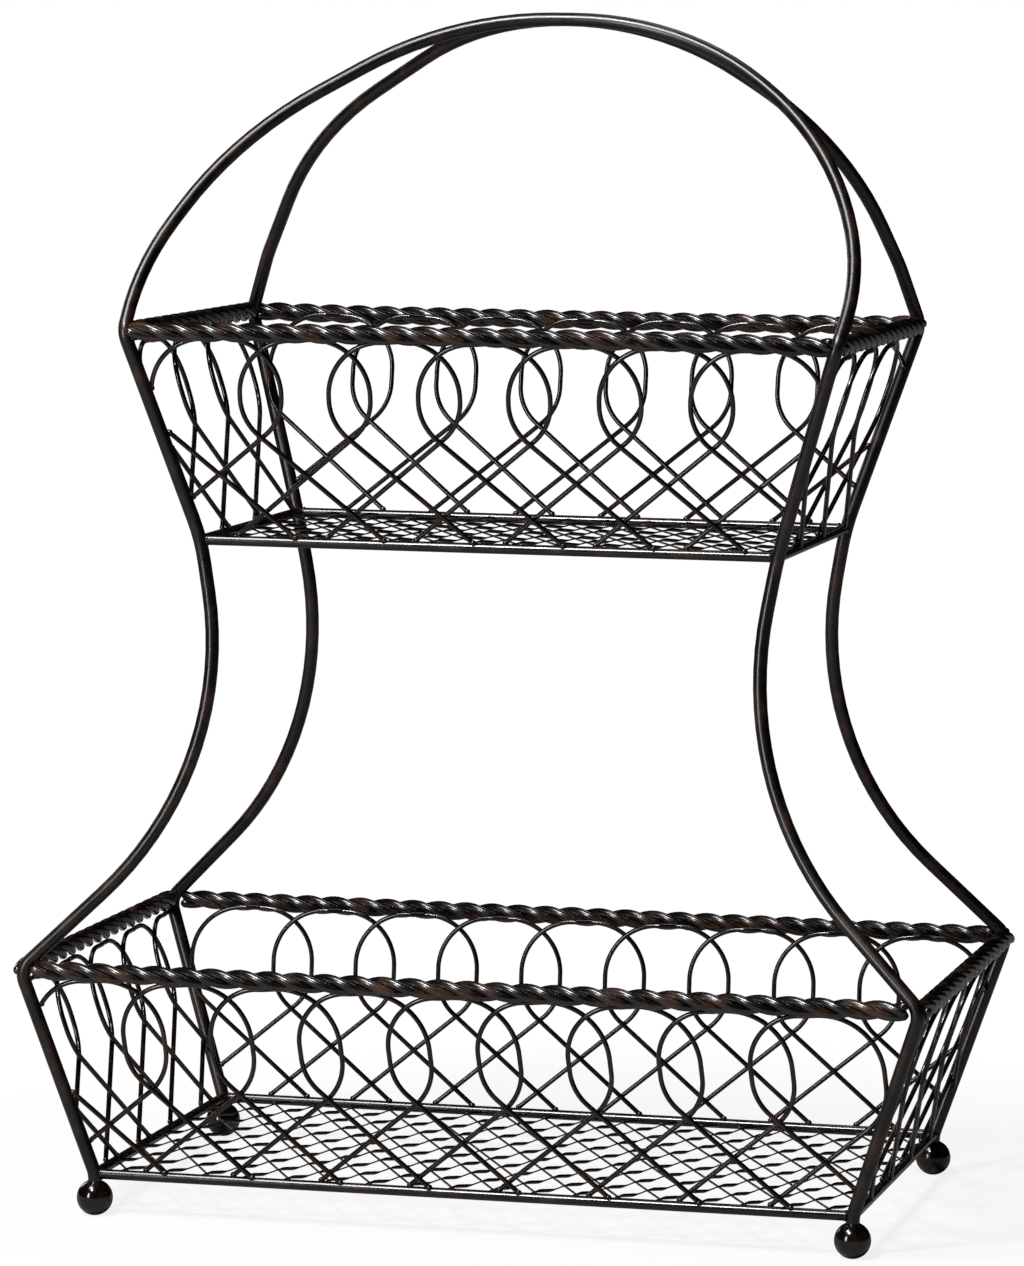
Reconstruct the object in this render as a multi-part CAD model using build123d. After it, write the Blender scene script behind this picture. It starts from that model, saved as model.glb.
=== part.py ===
from build123d import *
from dataclasses import dataclass
from math import atan, cos, pi, radians, sin, sqrt, tan
import os

# A wire basket of two tiers on four ball feet. Two bent rod hoops, one in front and one behind,
# run up from the feet, make the four corners of both baskets and meet over the top as the handle.
# X runs along the baskets to the right, Y runs from front to back and Z is up. The origin is on
# the floor under the middle. Half lengths and half depths are measured to the centres of the rods.

# Frame rods
rod_diameter = 6.0
weld_gap = 0.1                      # left between pieces that are welded together

# Ball feet
foot_diameter = 16.0
foot_flat_depth = 0.3
foot_hole_depth = 6.0
base_above_feet = 2.5               # from the top of a ball to the middle of the base rails

# Lower basket. The heights of both baskets are from the middle of the base rails to the rim.
lower_rim_half_length = 200.0
lower_rim_half_depth = 113.2
lower_length_narrowing = 30.3       # how much nearer the middle the base is than the rim
lower_depth_narrowing = 13.4
lower_basket_height = 91.6

# Upper basket
upper_rim_half_length = 157.3
upper_rim_half_depth = 100.6
upper_length_narrowing = 28.6
upper_depth_narrowing = 22.8
upper_basket_height = 91.6

# Waist of the hoops, between the lower rim and the upper base rails. Its corner is where its two
# straight runs would meet: in height and depth a share of the way up from the lower rim to the
# upper base, in length a share of the upper base.
waist_height = 188.1
waist_corner_rise_share = 0.466
waist_corner_depth_share = 0.819
waist_corner_length_share = 0.8625

# Handle: the hoops lean to each other and run side by side over the top. Its bends are placed by
# their share of its height over the upper rim and their share of the length of that rim.
handle_rise = 136.5
shoulder_rise_share = 0.2
shoulder_length_share = 1.001
haunch_rise_share = 0.615
haunch_length_share = 0.836
crown_length_share = 0.315
handle_lean = 16.5                  # how far the top sits to the right of the middle
front_handle_swell = 2.6            # the front hoop is bent a little wider than the back one
back_handle_swell = -9.6

# Bends of the hoops
foot_bend_radius = 14.0
rim_bend_radius = 9.0
waist_bend_radius = 150.0
upper_base_bend_radius = 60.0
shoulder_bend_radius = 125.0
haunch_bend_radius = 165.0
crown_bend_radius = 140.0
bent_share = 0.99                   # of a straight run that the bends at its ends may take up

# Base rails
rail_diameter = 4.5

# Twisted rims, each of three strands
strand_count = 3
strand_diameter = 4.0
strand_gap = 0.15
rope_lay = 38.4                     # length of one full turn of a strand

# Wall wires: each is bent into a loop whose two legs cross under it
wire_diameter = 2.2
lens_width = 18.0                   # width of the eye where two neighbouring loops overlap
upper_front_arch_drop = 3.7         # of the arches below the middle of the rim
loop_depth = 41.5                   # from the rim down to the lower bend of a loop
upper_front_loop_depth = 40.0
upper_back_loop_depth = 43.6
back_arch_drop = 2.6
back_shoulder_radius = 24.5
upper_front_shoulder_radius = 25.0
leg_slope = 40.0                    # of the crossing legs, in degrees from the rim
loop_shoulder_radius = 22.5
loop_side_radius = 22.0
layer_change_half_length = 3.0      # half of the stretch where a wire changes layer over its arch
layer_change_radius = 6.0
shortest_wire_end = 9.0             # cut ends shorter than this are left off

# The loops of the lower front wall hang lower and lean to the left
lower_front_arch_drop = 5.0
lower_front_loop_depth = 45.2
lower_front_shoulder_radius = 25.5
lower_front_loop_turn = 3.0         # how much lower the right side of a loop hangs than the left
lower_front_loop_lean = 4.5         # how far the arch of a loop sits to the left of its legs

# Spacing of the loops, and how far the middle loop of a wall sits to the right of its middle,
# or on the sides to the back of it
long_wall_pitch = 40.0
lower_side_pitch = 49.0
upper_side_pitch = 52.0
lower_front_loop_shift = -3.6
lower_back_loop_shift = 2.5
upper_front_loop_shift = 1.5
upper_back_loop_shift = 3.5
upper_side_loop_shift = -12.0

# Floor mesh
mesh_wire_diameter = 1.2
mesh_pitch = 18.6                   # between neighbouring wires, along the basket
mesh_angle = 62.0                   # of the wires from the length of the basket, in degrees
mesh_corner_gap = 1.5               # between the mesh and a corner rod or foot

rod_radius = rod_diameter / 2
foot_radius = foot_diameter / 2
foot_height = foot_diameter - foot_flat_depth
foot_centre_height = foot_radius - foot_flat_depth
lower_base_height = foot_height + base_above_feet
lower_rim_height = lower_base_height + lower_basket_height
upper_base_height = lower_rim_height + waist_height
upper_rim_height = upper_base_height + upper_basket_height
handle_height = upper_rim_height + handle_rise
lower_base_half_length = lower_rim_half_length - lower_length_narrowing
lower_base_half_depth = lower_rim_half_depth - lower_depth_narrowing
upper_base_half_length = upper_rim_half_length - upper_length_narrowing
upper_base_half_depth = upper_rim_half_depth - upper_depth_narrowing
rail_radius = rail_diameter / 2
wire_radius = wire_diameter / 2
mesh_wire_radius = mesh_wire_diameter / 2
strand_offset = (strand_diameter + strand_gap) / 2 / sin(pi / strand_count)
rope_radius = strand_offset + strand_diameter / 2
strand_end_tilt = strand_diameter / 2 * sin(atan(2 * pi * strand_offset / rope_lay))
layer_offset = (wire_diameter + weld_gap) / 2
arch_contact = rope_radius + weld_gap + wire_radius
hoop_half_gap = rod_radius + weld_gap


@dataclass
class LoopShape:
    """How the loops of one wall are spaced and bent."""
    pitch: float
    shift: float                    # of the middle loop, to the right or to the back
    arch_drop: float                # of the arches below the middle of the rim
    depth: float                    # from the rim down to the lower bend
    shoulder_radius: float = loop_shoulder_radius
    turn: float = 0                 # how much lower the right side hangs than the left
    lean: float = 0                 # how far the arch sits to the left of the legs


@dataclass
class Basket:
    """One tier, by the centres of its corner rods at the base and at the rim."""
    name: str
    base_half_length: float
    base_half_depth: float
    base_height: float
    rim_half_length: float
    rim_half_depth: float
    rim_height: float
    rim_corner: int                 # place of its rim corner in the list of a hoop's corner points
    loops: dict[str, LoopShape]     # of each wall


@dataclass
class Wall:
    """One sloping wall: its plane has the middle of the rim as origin, X along it and Y up the slope.

    The wires have a plane of their own, from the middle of their arches down to the rail.
    """
    name: str
    plane: Plane
    rim_half: float
    base_half: float
    slant: float
    rim_ends: tuple[float, float]
    wire_plane: Plane
    wire_slant: float
    rod_line: tuple[Vector, Vector]  # of the rod at the right end, in the plane of the wires
    loops: LoopShape
    loop_shift: float               # of the middle loop, along the wall


lower_sides = LoopShape(lower_side_pitch, 0, arch_contact, loop_depth)
upper_sides = LoopShape(upper_side_pitch, upper_side_loop_shift, arch_contact, loop_depth)
baskets = [
    Basket("lower", lower_base_half_length, lower_base_half_depth, lower_base_height,
           lower_rim_half_length, lower_rim_half_depth, lower_rim_height, 2,
           {"front": LoopShape(long_wall_pitch, lower_front_loop_shift, lower_front_arch_drop,
                               lower_front_loop_depth, lower_front_shoulder_radius,
                               lower_front_loop_turn, lower_front_loop_lean),
            "back": LoopShape(long_wall_pitch, lower_back_loop_shift, back_arch_drop, loop_depth,
                              back_shoulder_radius),
            "left": lower_sides, "right": lower_sides}),
    Basket("upper", upper_base_half_length, upper_base_half_depth, upper_base_height,
           upper_rim_half_length, upper_rim_half_depth, upper_rim_height, 5,
           {"front": LoopShape(long_wall_pitch, upper_front_loop_shift, upper_front_arch_drop,
                               upper_front_loop_depth, upper_front_shoulder_radius),
            "back": LoopShape(long_wall_pitch, upper_back_loop_shift, back_arch_drop,
                              upper_back_loop_depth, back_shoulder_radius),
            "left": upper_sides, "right": upper_sides}),
]


def tube(path, diameter):
    """A round wire or rod along a smooth path."""
    section = Plane(origin=path @ 0, z_dir=path % 0) * Circle(diameter / 2)
    return sweep(section, path=path)


def straight_tube(start, end, diameter):
    """A straight round wire or rod between two points."""
    run = end - start
    return Solid.make_cylinder(diameter / 2, run.length, Plane(origin=start, z_dir=run))


def bent_path(corners):
    """A path of straight runs through corner points, bent at each by its radius.

    A bend that its runs have no room for is made smaller, so that each run keeps a straight bit.
    """
    points = [point for point, radius in corners]
    runs = [end - start for start, end in zip(points, points[1:])]
    cuts = [0.0]
    for before, after, (point, radius) in zip(runs, runs[1:], corners[1:]):
        cuts.append(radius * tan(radians(before.get_angle(after)) / 2))
    cuts.append(0.0)
    rooms = [min(1.0, bent_share * run.length / (start_cut + end_cut))
             for run, start_cut, end_cut in zip(runs, cuts, cuts[1:])]
    radii = [radius * min(room_before, room_after)
             for (point, radius), room_before, room_after in zip(corners[1:], rooms, rooms[1:])]
    return FilletPolyline(*points, radius=radii)


# Frame
def hoop_corner_points(side, end):
    """Corner points of one half of a hoop, foot first, each with the radius of its bend."""
    swell = front_handle_swell if side < 0 else back_handle_swell

    def handle_point(length_share, rise_share):
        x = end * (upper_rim_half_length * length_share + swell) + handle_lean * rise_share
        depth = upper_rim_half_depth - (upper_rim_half_depth - hoop_half_gap) * rise_share
        return Vector(x, side * depth, upper_rim_height + handle_rise * rise_share)

    waist_half_depth = (lower_rim_half_depth
                        - (lower_rim_half_depth - upper_base_half_depth) * waist_corner_depth_share)
    foot_z = foot_height - foot_hole_depth + weld_gap
    return [
        (Vector(end * lower_base_half_length, side * lower_base_half_depth, foot_z), None),
        (Vector(end * lower_base_half_length, side * lower_base_half_depth, lower_base_height),
         foot_bend_radius),
        (Vector(end * lower_rim_half_length, side * lower_rim_half_depth, lower_rim_height),
         rim_bend_radius),
        (Vector(end * upper_base_half_length * waist_corner_length_share, side * waist_half_depth,
                lower_rim_height + waist_height * waist_corner_rise_share), waist_bend_radius),
        (Vector(end * upper_base_half_length, side * upper_base_half_depth, upper_base_height),
         upper_base_bend_radius),
        (Vector(end * upper_rim_half_length, side * upper_rim_half_depth, upper_rim_height),
         rim_bend_radius),
        (handle_point(shoulder_length_share, shoulder_rise_share), shoulder_bend_radius),
        (handle_point(haunch_length_share, haunch_rise_share), haunch_bend_radius),
        (handle_point(crown_length_share, 1), crown_bend_radius),
    ]


def hoop(side):
    """One hoop, a single rod from the left foot over the handle to the right foot."""
    left = hoop_corner_points(side, -1)
    right = hoop_corner_points(side, 1)
    return tube(bent_path(left + right[::-1]), rod_diameter)


def foot(side, end):
    """A ball with a flat to stand on and a blind hole for the end of the rod."""
    x = end * lower_base_half_length
    y = side * lower_base_half_depth
    ball = Pos(x, y, foot_centre_height) * Sphere(foot_radius)
    floor_cut = Pos(x, y, -foot_radius) * Box(foot_diameter, foot_diameter, foot_diameter)
    hole_plane = Plane((x, y, foot_height - foot_hole_depth))
    hole = Solid.make_cylinder(rod_radius + weld_gap, foot_diameter, hole_plane)
    return ball - floor_cut - hole


# Walls
def rim_end_gap(basket, corner_sides, along):
    """How far from a rim corner a rope has to end so that it just clears the bent rod there."""
    end, side = corner_sides
    corners = hoop_corner_points(side, end)
    corner = corners[basket.rim_corner][0]
    rod = bent_path(corners[basket.rim_corner - 1:basket.rim_corner + 2])
    clear = rod_radius + weld_gap
    gap = clear
    missing = clear
    while missing > weld_gap / 10:
        end_face = Plane(origin=corner + along * gap, z_dir=along) * Circle(rope_radius)
        missing = clear - rod.distance_to(end_face.face())
        gap += max(missing, 0)
    return gap + strand_end_tilt


def wall(basket, name):
    """The plane and sizes of one wall of a basket."""
    outward = {"front": Vector(0, -1, 0), "back": Vector(0, 1, 0),
               "left": Vector(-1, 0, 0), "right": Vector(1, 0, 0)}[name]
    along = Vector(0, 0, 1).cross(outward)
    if name in ("front", "back"):
        rim_half, base_half = basket.rim_half_length, basket.base_half_length
        rim_reach, base_reach = basket.rim_half_depth, basket.base_half_depth
    else:
        rim_half, base_half = basket.rim_half_depth, basket.base_half_depth
        rim_reach, base_reach = basket.rim_half_length, basket.base_half_length
    rim_middle = outward * rim_reach + Vector(0, 0, basket.rim_height)
    base_middle = outward * base_reach + Vector(0, 0, basket.base_height)
    up_slope = (rim_middle - base_middle).normalized()
    plane = Plane(origin=rim_middle, x_dir=along, z_dir=along.cross(up_slope))
    slant = (rim_middle - base_middle).length
    rim_ends = []
    for way in (-1, 1):
        corner_sides = (outward.X + way * along.X, outward.Y + way * along.Y)
        rim_ends.append(rim_end_gap(basket, corner_sides, along * -way))
    # In front and behind the arches lie inside the rim, low against it, and on the sides under it.
    loops = basket.loops[name]
    inset = 0
    if name in ("front", "back"):
        inset = sqrt(arch_contact ** 2 - loops.arch_drop ** 2) + layer_offset
    arch_middle = plane.from_local_coords(Vector(0, -loops.arch_drop, -inset))
    wires_up = (arch_middle - base_middle).normalized()
    wire_plane = Plane(origin=arch_middle, x_dir=along, z_dir=along.cross(wires_up))
    rod_line = (wire_plane.to_local_coords(base_middle + along * base_half),
                wire_plane.to_local_coords(rim_middle + along * rim_half))
    return Wall(name, plane, rim_half, base_half, slant, tuple(rim_ends), wire_plane,
                (arch_middle - base_middle).length, rod_line, loops,
                loops.shift * (along.X + along.Y))


def rim_strands(w):
    """The strands of a twisted rim, each a right-handed helix about the line of the rim."""
    first = -(w.rim_half - w.rim_ends[0])
    length = w.rim_half - w.rim_ends[1] - first
    strands = []
    for i in range(strand_count):
        helix = Helix(pitch=rope_lay, height=length, radius=strand_offset)
        section = Plane(origin=helix @ 0, z_dir=helix % 0) * Circle(strand_diameter / 2)
        strand = Rot(0, 0, 360 * i / strand_count) * sweep(section, path=helix, is_frenet=True)
        start = w.plane.from_local_coords(Vector(first, 0, 0))
        strands.append(Plane(origin=start, x_dir=w.plane.z_dir, z_dir=w.plane.x_dir) * strand)
    return strands


def rail(w):
    """A straight base rail between two corner rods."""
    reach = w.base_half - rod_radius - weld_gap
    start = w.plane.from_local_coords(Vector(-reach, -w.slant, 0))
    end = w.plane.from_local_coords(Vector(reach, -w.slant, 0))
    return straight_tube(start, end, rail_diameter)


def loop_path(w, centre):
    """The path of one wall wire: up a leg, round the loop and down the other leg."""
    loops = w.loops
    half_width = loops.pitch / 2 + lens_width / 2
    arch_centre = centre - loops.lean
    halves = []
    for side in (-1, 1):
        drop = loops.depth - loops.arch_drop + side * loops.turn / 2
        leg_reach = half_width - (w.wire_slant - drop) / tan(radians(leg_slope))
        shoulder_radius = loops.shoulder_radius + side * loops.turn / 2
        z = -side * layer_offset
        halves.append([
            (Vector(centre + side * leg_reach, -w.wire_slant, z), None),
            (Vector(centre + side * half_width, -drop, z), loop_side_radius),
            (Vector(arch_centre + side * half_width, 0, z), shoulder_radius),
            (Vector(arch_centre + side * layer_change_half_length, 0, z), layer_change_radius),
        ])
    left, right = halves
    return bent_path(left + right[::-1])


def loop_centres(w):
    """Places of the loops along a wall, as many as have their arch between the corner rods."""
    centres = []
    count = int(w.rim_half / w.loops.pitch) + 1
    for i in range(-count, count + 1):
        centre = i * w.loops.pitch + w.loop_shift
        if abs(centre - w.loops.lean) < w.rim_half - lens_width / 2:
            centres.append(centre)
    return centres


def room_at(w, path, position):
    """How much room a wire that ended at this position on its path would leave to what it meets.

    That is the corner rod, the rail, and the wires of the next wall where they come past the rod.
    Beyond the rod there is none.
    """
    point = path @ position
    direction = path % position
    side = 1 if point.X > 0 else -1
    rod_base, rod_rim = [Vector(side * end.X, end.Y, end.Z) for end in w.rod_line]
    rod_run = (rod_rim - rod_base).normalized()
    from_base = point - rod_base
    to_rod = rod_run * from_base.dot(rod_run) - from_base
    to_rail = Vector(0, -w.wire_slant - point.Y, -point.Z)
    inward = side * to_rod.X
    rooms = [inward]
    for way, radius in ((to_rod, rod_radius), (to_rail, rail_radius)):
        end_share = direction.dot(way.normalized())
        end_reach = wire_radius * sqrt(max(0, 1 - end_share ** 2))
        rooms.append(way.length - radius - end_reach)
    if w.name in ("front", "back"):
        end_reach = wire_radius * sqrt(max(0, 1 - direction.X ** 2))
        rooms.append(inward - layer_offset - wire_radius - end_reach)
    return min(rooms) - weld_gap


def kept_runs(w, path):
    """The stretches of a wire's path that lie between the corner rods and above the rail."""
    steps = int(path.length / wire_radius)
    positions = [i / steps for i in range(steps + 1)]
    inside = [room_at(w, path, position) > 0 for position in positions]
    ends = []
    for i in range(steps):
        if inside[i] != inside[i + 1]:
            outer, inner = (i, i + 1) if inside[i + 1] else (i + 1, i)
            outer, inner = positions[outer], positions[inner]
            while abs(inner - outer) * path.length > weld_gap / 10:
                middle = (inner + outer) / 2
                if room_at(w, path, middle) > 0:
                    inner = middle
                else:
                    outer = middle
            ends.append(inner)
    return zip(ends[::2], ends[1::2])


def wall_wires(w):
    """All the loop wires of a wall, each cut where it meets a corner rod or the rail."""
    wires = []
    for centre in loop_centres(w):
        path = loop_path(w, centre)
        for start, end in kept_runs(w, path):
            if (end - start) * path.length > shortest_wire_end:
                wires.append(w.wire_plane * tube(path.trim(start, end), wire_diameter))
    return wires


# Floors
def corner_reach(height):
    """Half the width, at a height, of the corner rod or of the ball foot round it."""
    above_centre = abs(height - foot_centre_height)
    if above_centre < foot_radius:
        return max(rod_radius, sqrt(foot_radius ** 2 - above_centre ** 2))
    return rod_radius


def floor_limits(basket, height):
    """The outline of a mesh with its corners cut, as outward directions with their distances."""
    half_length = basket.base_half_length - rail_radius - weld_gap
    half_depth = basket.base_half_depth - rail_radius - weld_gap
    corner_room = corner_reach(height) + mesh_corner_gap
    corner_distance = (basket.base_half_length + basket.base_half_depth) / sqrt(2) - corner_room
    limits = [(1, 0, half_length), (-1, 0, half_length), (0, 1, half_depth), (0, -1, half_depth)]
    for nx in (-1, 1):
        for ny in (-1, 1):
            limits.append((nx / sqrt(2), ny / sqrt(2), corner_distance))
    return limits


def clipped(start, end, limits):
    """The two ends of the part of a line that lies inside an outline, or None."""
    first, last = 0.0, 1.0
    run = end - start
    for nx, ny, distance in limits:
        outward_run = run.X * nx + run.Y * ny
        end_reach = mesh_wire_radius * sqrt(max(0, 1 - (outward_run / run.length) ** 2))
        inside = distance - end_reach - (start.X * nx + start.Y * ny)
        if outward_run > 0:
            last = min(last, inside / outward_run)
        elif outward_run < 0:
            first = max(first, inside / outward_run)
        elif inside < 0:
            return None
    if (last - first) * run.length < shortest_wire_end:
        return None
    return start + run * first, start + run * last


def floor_mesh(basket):
    """Two layers of fine straight wires between the base rails, slanting opposite ways."""
    half_depth = basket.base_half_depth
    lean = half_depth / tan(radians(mesh_angle))
    count = int((basket.base_half_length + lean) / mesh_pitch)
    layer_step = mesh_wire_diameter + weld_gap
    top = basket.base_height + layer_step / 2
    limits = floor_limits(basket, top - layer_step)
    wires = []
    for z, slant in ((top, 1), (top - layer_step, -1)):
        for i in range(-count, count + 1):
            start = Vector(i * mesh_pitch - slant * lean, -half_depth, z)
            end = Vector(i * mesh_pitch + slant * lean, half_depth, z)
            kept = clipped(start, end, limits)
            if kept:
                wires.append(straight_tube(kept[0], kept[1], mesh_wire_diameter))
    return wires


def save(name, shapes):
    """Write the solids of one node."""
    solids = [solid for shape in shapes for solid in shape.solids()]
    shape = solids[0] if len(solids) == 1 else Compound(children=solids)
    export_step(shape, "parts/" + name + ".step")


os.makedirs("parts", exist_ok=True)

for side_name, side in (("front", -1), ("back", 1)):
    save(side_name + "_hoop", [hoop(side)])
    for end_name, end in (("left", -1), ("right", 1)):
        save("foot_" + side_name + "_" + end_name, [foot(side, end)])

for basket in baskets:
    for wall_name in ("front", "back", "left", "right"):
        w = wall(basket, wall_name)
        save(basket.name + "_" + wall_name + "_rim", rim_strands(w))
        save(basket.name + "_" + wall_name + "_rail", [rail(w)])
        save(basket.name + "_" + wall_name + "_wires", wall_wires(w))
    save(basket.name + "_floor_mesh", floor_mesh(basket))
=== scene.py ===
"""Looks of a two-tier wire basket.

The basket is welded from mild steel rod and wire and powder coated in a near-black brown.
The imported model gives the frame: two bent hoops, ball feet, base rails, twisted rims, looped
wall wires and mesh floors. This file dresses those nodes, puts finer surfaces in place of the
ropes, wall wires and floors, and adds the welds, a pale studio and the camera.
"""
import logging
from collections.abc import Sequence
from dataclasses import dataclass, field
from enum import Enum
from typing import Any

import bpy
import numpy as np
from mathutils import Matrix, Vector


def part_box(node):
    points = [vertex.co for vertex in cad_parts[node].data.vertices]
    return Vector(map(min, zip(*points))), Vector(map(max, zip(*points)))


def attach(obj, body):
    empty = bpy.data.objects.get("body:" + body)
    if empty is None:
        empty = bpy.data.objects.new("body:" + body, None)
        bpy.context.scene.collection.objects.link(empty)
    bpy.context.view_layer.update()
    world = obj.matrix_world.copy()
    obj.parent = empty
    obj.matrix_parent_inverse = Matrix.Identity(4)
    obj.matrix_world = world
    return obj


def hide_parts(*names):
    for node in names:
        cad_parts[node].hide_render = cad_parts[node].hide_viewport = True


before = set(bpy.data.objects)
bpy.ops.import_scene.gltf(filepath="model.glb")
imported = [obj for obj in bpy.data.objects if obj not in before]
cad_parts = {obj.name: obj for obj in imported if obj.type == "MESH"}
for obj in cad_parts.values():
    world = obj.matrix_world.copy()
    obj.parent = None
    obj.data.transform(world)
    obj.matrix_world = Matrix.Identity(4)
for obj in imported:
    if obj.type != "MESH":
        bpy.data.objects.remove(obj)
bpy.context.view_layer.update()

logging.basicConfig(level=logging.INFO, format="%(message)s")
log = logging.getLogger("basket")

MM = 0.001
TINY = 1e-9
BODY = "root"
UP = np.array([0.0, 0.0, 1.0])
BASKET_MIDDLE = np.array([0.0, 0.0, 0.25])


class Tier(Enum):
    """The two baskets."""
    LOWER = "lower"
    UPPER = "upper"


class Side(Enum):
    """The four walls of a basket, each with its outward direction."""
    FRONT = (0.0, -1.0, 0.0)
    BACK = (0.0, 1.0, 0.0)
    LEFT = (-1.0, 0.0, 0.0)
    RIGHT = (1.0, 0.0, 0.0)

    @property
    def outward(self) -> np.ndarray:
        """Unit vector that points out of the basket through this wall."""
        return np.array(self.value)

    @property
    def along(self) -> np.ndarray:
        """Unit vector along this wall, to the right as seen from outside."""
        return np.cross(UP, self.outward)


# Materials


# Values of a noise texture: their middle, how far most of them lie from it, and their usual range
NOISE_MIDDLE = 0.5
NOISE_SPREAD = 0.25
NOISE_RANGE = (0.3, 0.7)


def linear(hex_colour: str) -> tuple[float, float, float, float]:
    """Turns an sRGB hex colour into the linear colour that the shader takes.

    Args:
        hex_colour: Colour such as "#1a1512".

    Returns:
        Red, green, blue and an alpha of 1.
    """
    srgb = np.array([int(hex_colour[i:i + 2], 16) for i in (1, 3, 5)]) / 255
    flat = np.where(srgb <= 0.04045, srgb / 12.92, ((srgb + 0.055) / 1.055) ** 2.4)
    return (float(flat[0]), float(flat[1]), float(flat[2]), 1.0)


def add_node(tree: bpy.types.NodeTree, kind: str, settings: dict[str, Any] | None = None,
             **inputs: Any) -> bpy.types.Node:
    """Adds one shader node.

    Args:
        tree: Node tree that gets the node.
        kind: Type of the node, such as "ShaderNodeTexNoise".
        settings: Attributes of the node, such as its operation.
        **inputs: Value of an input, or the output socket to link to it. An underscore in a name
            stands for a space, and a name that starts with i and a number is that input's place.

    Returns:
        The new node.
    """
    node = tree.nodes.new(kind)
    for name, value in (settings or {}).items():
        setattr(node, name, value)
    for name, value in inputs.items():
        key = int(name[1:]) if name[0] == "i" and name[1:].isdigit() else name.replace("_", " ")
        if isinstance(value, bpy.types.NodeSocket):
            tree.links.new(value, node.inputs[key])
        else:
            node.inputs[key].default_value = value
    return node


def empty_tree(owner: bpy.types.Material | bpy.types.World) -> bpy.types.NodeTree:
    """Gives a material or world a node tree with nothing in it."""
    owner.use_nodes = True
    owner.node_tree.nodes.clear()
    return owner.node_tree


def per_metre(size_mm: float) -> float:
    """Scale of a pattern on Object coordinates whose cells are this many millimetres wide."""
    return 1.0 / (size_mm * MM)


@dataclass(frozen=True)
class PowderCoat:
    """Satin powder coat, sprayed dry on mild steel wire and baked.

    The baked film has a fine orange peel that breaks up its highlights. It is near black with a
    brown cast, which shows in patches and specks where the film is thin.

    Attributes:
        name: Name of the material.
        film_hex: Colour of the full film.
        thin_hex: Colour where the film is thin.
        roughness: Lowest and highest roughness of the film.
        peel_mm: Width of the cells of the orange peel.
        peel_depth_mm: Depth of the orange peel.
        patch_mm: Width of the patches in which the film is thicker and thinner.
        thin_share: Share of the surface on which the thin colour shows.
        thin_edge: Part of the noise's range over which the film goes from full to thin.
        speckle_share: Width of the specks in the thin film, as a share of the peel's cells.
        speckle_range: Values of the noise at which a speck is faint and at which it is full.
        faintest: Share of the thin colour that a faint speck still has.
        gloss_coat: Weight of the smooth skin of the film.
        skin_roughness: Roughness of that skin.
        resin_ior: Index of refraction of the baked resin.
    """
    name: str
    film_hex: str = "#080504"
    thin_hex: str = "#341f17"
    roughness: tuple[float, float] = (0.17, 0.27)
    peel_mm: float = 1.6
    peel_depth_mm: float = 0.014
    patch_mm: float = 14.0
    thin_share: float = 0.5
    thin_edge: float = 0.22
    speckle_share: float = 0.6
    speckle_range: tuple[float, float] = (0.35, 0.75)
    faintest: float = 0.55
    gloss_coat: float = 0.2
    skin_roughness: float = 0.12
    resin_ior: float = 1.5

    def material(self) -> bpy.types.Material:
        """Makes the material.

        Returns:
            A material with its colour, roughness and bump worked out on Object coordinates.
        """
        made = bpy.data.materials.new(self.name)
        tree = empty_tree(made)
        place = add_node(tree, "ShaderNodeTexCoord").outputs["Object"]
        patches = add_node(tree, "ShaderNodeTexNoise", Vector=place,
                           Scale=per_metre(self.patch_mm), Detail=4.0, Roughness=0.6)
        speckle = add_node(tree, "ShaderNodeTexNoise", Vector=place,
                           Scale=per_metre(self.peel_mm * self.speckle_share), Detail=2.0)
        low = NOISE_MIDDLE + NOISE_SPREAD * (0.5 - self.thin_share)
        thinness = add_node(tree, "ShaderNodeMapRange", i0=patches.outputs["Fac"], i1=low,
                            i2=low + self.thin_edge)
        grain = add_node(tree, "ShaderNodeMapRange", i0=speckle.outputs["Fac"],
                         i1=self.speckle_range[0], i2=self.speckle_range[1], i3=self.faintest,
                         i4=1.0)
        amount = add_node(tree, "ShaderNodeMath", {"operation": "MULTIPLY"},
                          i0=thinness.outputs[0], i1=grain.outputs[0])
        colour = add_node(tree, "ShaderNodeMix", {"data_type": "RGBA"}, Factor=amount.outputs[0],
                          i6=linear(self.film_hex), i7=linear(self.thin_hex))
        rough = add_node(tree, "ShaderNodeMapRange", i0=patches.outputs["Fac"],
                         i1=NOISE_RANGE[0], i2=NOISE_RANGE[1], i3=self.roughness[0],
                         i4=self.roughness[1])
        peel = add_node(tree, "ShaderNodeTexNoise", Vector=place, Scale=per_metre(self.peel_mm),
                        Detail=1.5, Roughness=0.4)
        bump = add_node(tree, "ShaderNodeBump", Height=peel.outputs["Fac"],
                        Distance=self.peel_depth_mm * MM, Strength=1.0)
        shader = add_node(tree, "ShaderNodeBsdfPrincipled", Base_Color=colour.outputs[2],
                          Roughness=rough.outputs[0], Normal=bump.outputs["Normal"],
                          IOR=self.resin_ior, Metallic=0.0, Coat_Weight=self.gloss_coat,
                          Coat_Roughness=self.skin_roughness)
        add_node(tree, "ShaderNodeOutputMaterial", Surface=shader.outputs["BSDF"])
        return made


COATS = {
    "rod": PowderCoat("powder_coat_on_bent_rod", roughness=(0.27, 0.35), gloss_coat=0.05),
    "ball": PowderCoat("powder_coat_on_turned_balls", roughness=(0.12, 0.18)),
    "rope": PowderCoat("powder_coat_on_twisted_rope", thin_hex="#4a3226", roughness=(0.2, 0.28),
                       gloss_coat=0.5),
    "rail": PowderCoat("powder_coat_on_straight_rail"),
    "wire": PowderCoat("powder_coat_on_wall_wire", roughness=(0.13, 0.2)),
    "mesh": PowderCoat("powder_coat_on_crimped_mesh", roughness=(0.13, 0.2)),
    "weld": PowderCoat("powder_coat_on_welds", peel_depth_mm=0.05),
}


# Surfaces


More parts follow.
